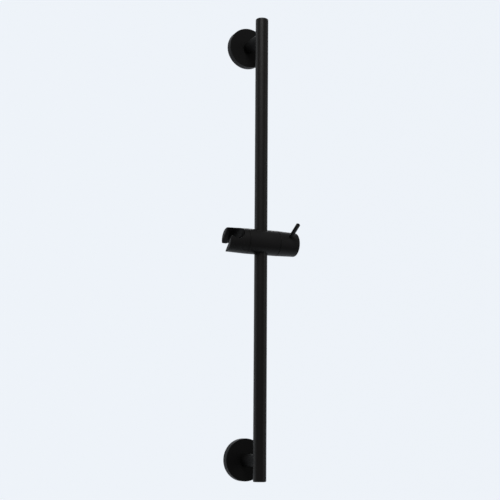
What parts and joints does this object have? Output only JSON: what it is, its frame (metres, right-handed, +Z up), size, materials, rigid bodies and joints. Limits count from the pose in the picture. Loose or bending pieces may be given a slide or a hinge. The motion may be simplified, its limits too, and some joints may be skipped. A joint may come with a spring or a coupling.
{
  "type": "shower slide rail",
  "caption": "Round wall rail on standoff posts with a sliding, lockable slider that carries a tilting cradle for a hand shower.",
  "frame": {"origin": "on the wall plane, midway between the upper and lower fixings, the centre of the wall-screw pattern", "axes": "+Z up along the rail, +Y into the wall, -Y to the front, +X to the right seen from the front, cradle at -X, knob at +X"},
  "size_m": [0.1108, 0.0994, 0.6844],
  "materials": {
    "black_coat": "satin black powder coat",
    "plate_metal": "zinc-plated, dull",
    "bare_steel": "bare stainless steel",
    "nylon": "dark moulded nylon"
  },
  "bodies": {
    "rail": {"rail_tube": "black_coat", "top_end_cap": "black_coat", "bottom_end_cap": "black_coat", "upper_wall_plate": "plate_metal", "upper_flange": "black_coat", "upper_grub_screw": "bare_steel", "upper_post": "black_coat", "upper_post_bolt": "bare_steel", "upper_rail_nut": "bare_steel", "lower_wall_plate": "plate_metal", "lower_flange": "black_coat", "lower_grub_screw": "bare_steel", "lower_post": "black_coat", "lower_post_bolt": "bare_steel", "lower_rail_nut": "bare_steel"},
    "carriage": {"upper_liner": "nylon", "lower_liner": "nylon"},
    "slider": {"slider_body": "black_coat", "cradle_washer": "nylon", "cradle_screw": "bare_steel", "cradle_spring": "bare_steel"},
    "cradle": {"cradle": "black_coat"},
    "pad": {"brake_pad": "nylon"},
    "knob": {"lock_spindle": "bare_steel", "lock_knob": "black_coat", "lever_pin": "black_coat"}
  },
  "joints": [
    {"name": "slider_height", "type": "slide", "parent": "rail", "child": "carriage", "axis": [0, 0, 1], "range_m": [-0.286, 0.284]},
    {"name": "slider_swing", "type": "hinge", "parent": "carriage", "child": "slider", "pos_m": [0, -0.0585, 0.001], "axis": [0, 0, 1], "range_deg": [-40, 40]},
    {"name": "cradle_tilt", "type": "hinge", "parent": "slider", "child": "cradle", "pos_m": [-0.0243, -0.0585, 0.001], "axis": [1, 0, 0], "range_deg": [-48, 42]},
    {"name": "lock_travel", "type": "slide", "parent": "slider", "child": "pad", "axis": [1, 0, 0], "range_m": [0, 0.000375]},
    {"name": "lock_turn", "type": "hinge", "parent": "pad", "child": "knob", "pos_m": [0.0243, -0.0585, 0.001], "axis": [1, 0, 0], "range_deg": [0, 90.05]}
  ],
  "couplings": [
    {"joint": "lock_turn", "follows": "lock_travel", "rad_per_m": 4188.8}
  ]
}
